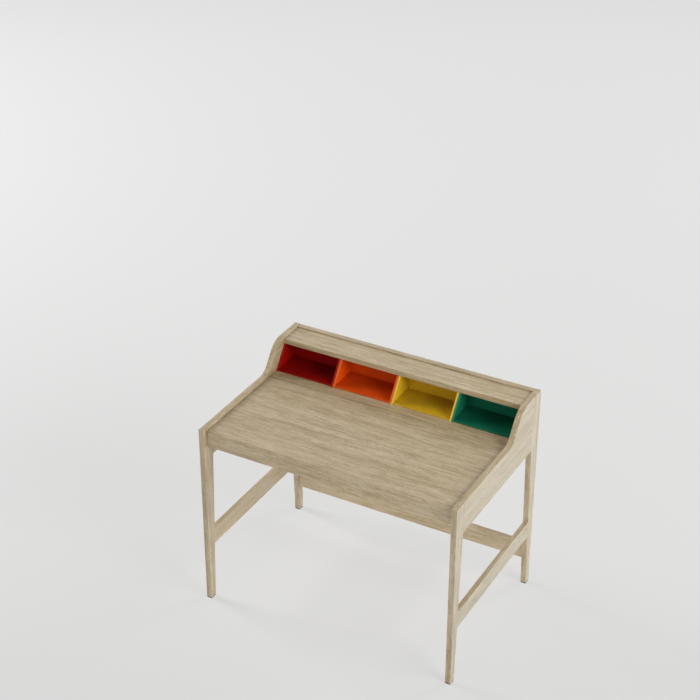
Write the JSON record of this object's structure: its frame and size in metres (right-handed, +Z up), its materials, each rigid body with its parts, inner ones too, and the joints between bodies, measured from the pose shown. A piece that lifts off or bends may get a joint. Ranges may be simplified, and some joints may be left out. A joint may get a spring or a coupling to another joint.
{
  "type": "student desk with hutch",
  "caption": "Writing desk on tapered legs with S-curved side panels and a low hutch whose coloured open-front box inserts slide out over the worktop.",
  "frame": {"origin": "on the floor under the middle of the desk", "axes": "+Z up, +Y towards the back board, so the sitter's side faces -Y, +X to the sitter's right"},
  "size_m": [1, 0.668, 0.838],
  "materials": {
    "oak": "matt greyed oak grain",
    "red_paint": "satin red paint on board",
    "orange_paint": "satin orange paint on board",
    "yellow_paint": "satin yellow paint on board",
    "green_paint": "satin blue-green paint on board",
    "beech": "plain beech",
    "steel": "zinc plated",
    "zinc": "die-cast, dull",
    "pad": "matt dark plastic"
  },
  "bodies": {
    "desk": {"left_front_leg": "oak", "left_rear_leg": "oak", "left_side_panel": "oak", "left_side_stretcher": "oak", "left_cleat": "oak", "right_front_leg": "oak", "right_rear_leg": "oak", "right_side_panel": "oak", "right_side_stretcher": "oak", "right_cleat": "oak", "back_stretcher": "oak", "front_rail": "oak", "middle_rail": "oak", "rear_rail": "oak", "stop_rail": "oak", "worktop": "oak", "hutch_base": "oak", "hutch_top": "oak", "back_board": "oak", "frame_dowels": "beech", "stretcher_dowels": "beech", "rail_dowels": "beech", "cam_bolts": "steel", "cleat_screws": "steel", "worktop_screws": "steel", "hutch_base_screws": "steel", "back_board_screws": "steel", "foot_pad_screws": "steel", "cam_discs": "zinc", "foot_pads": "pad"},
    "red_insert": {"red_insert_floor": "red_paint", "red_insert_back": "red_paint", "red_insert_left_side": "red_paint", "red_insert_right_side": "red_paint"},
    "orange_insert": {"orange_insert_floor": "orange_paint", "orange_insert_back": "orange_paint", "orange_insert_left_side": "orange_paint", "orange_insert_right_side": "orange_paint"},
    "yellow_insert": {"yellow_insert_floor": "yellow_paint", "yellow_insert_back": "yellow_paint", "yellow_insert_left_side": "yellow_paint", "yellow_insert_right_side": "yellow_paint"},
    "green_insert": {"green_insert_floor": "green_paint", "green_insert_back": "green_paint", "green_insert_left_side": "green_paint", "green_insert_right_side": "green_paint"}
  },
  "joints": [
    {"name": "red_insert_slide", "type": "slide", "parent": "desk", "child": "red_insert", "axis": [0, -1, 0], "range_m": [0, 0.13]},
    {"name": "orange_insert_slide", "type": "slide", "parent": "desk", "child": "orange_insert", "axis": [0, -1, 0], "range_m": [0, 0.13]},
    {"name": "yellow_insert_slide", "type": "slide", "parent": "desk", "child": "yellow_insert", "axis": [0, -1, 0], "range_m": [0, 0.13]},
    {"name": "green_insert_slide", "type": "slide", "parent": "desk", "child": "green_insert", "axis": [0, -1, 0], "range_m": [0, 0.13]}
  ]
}
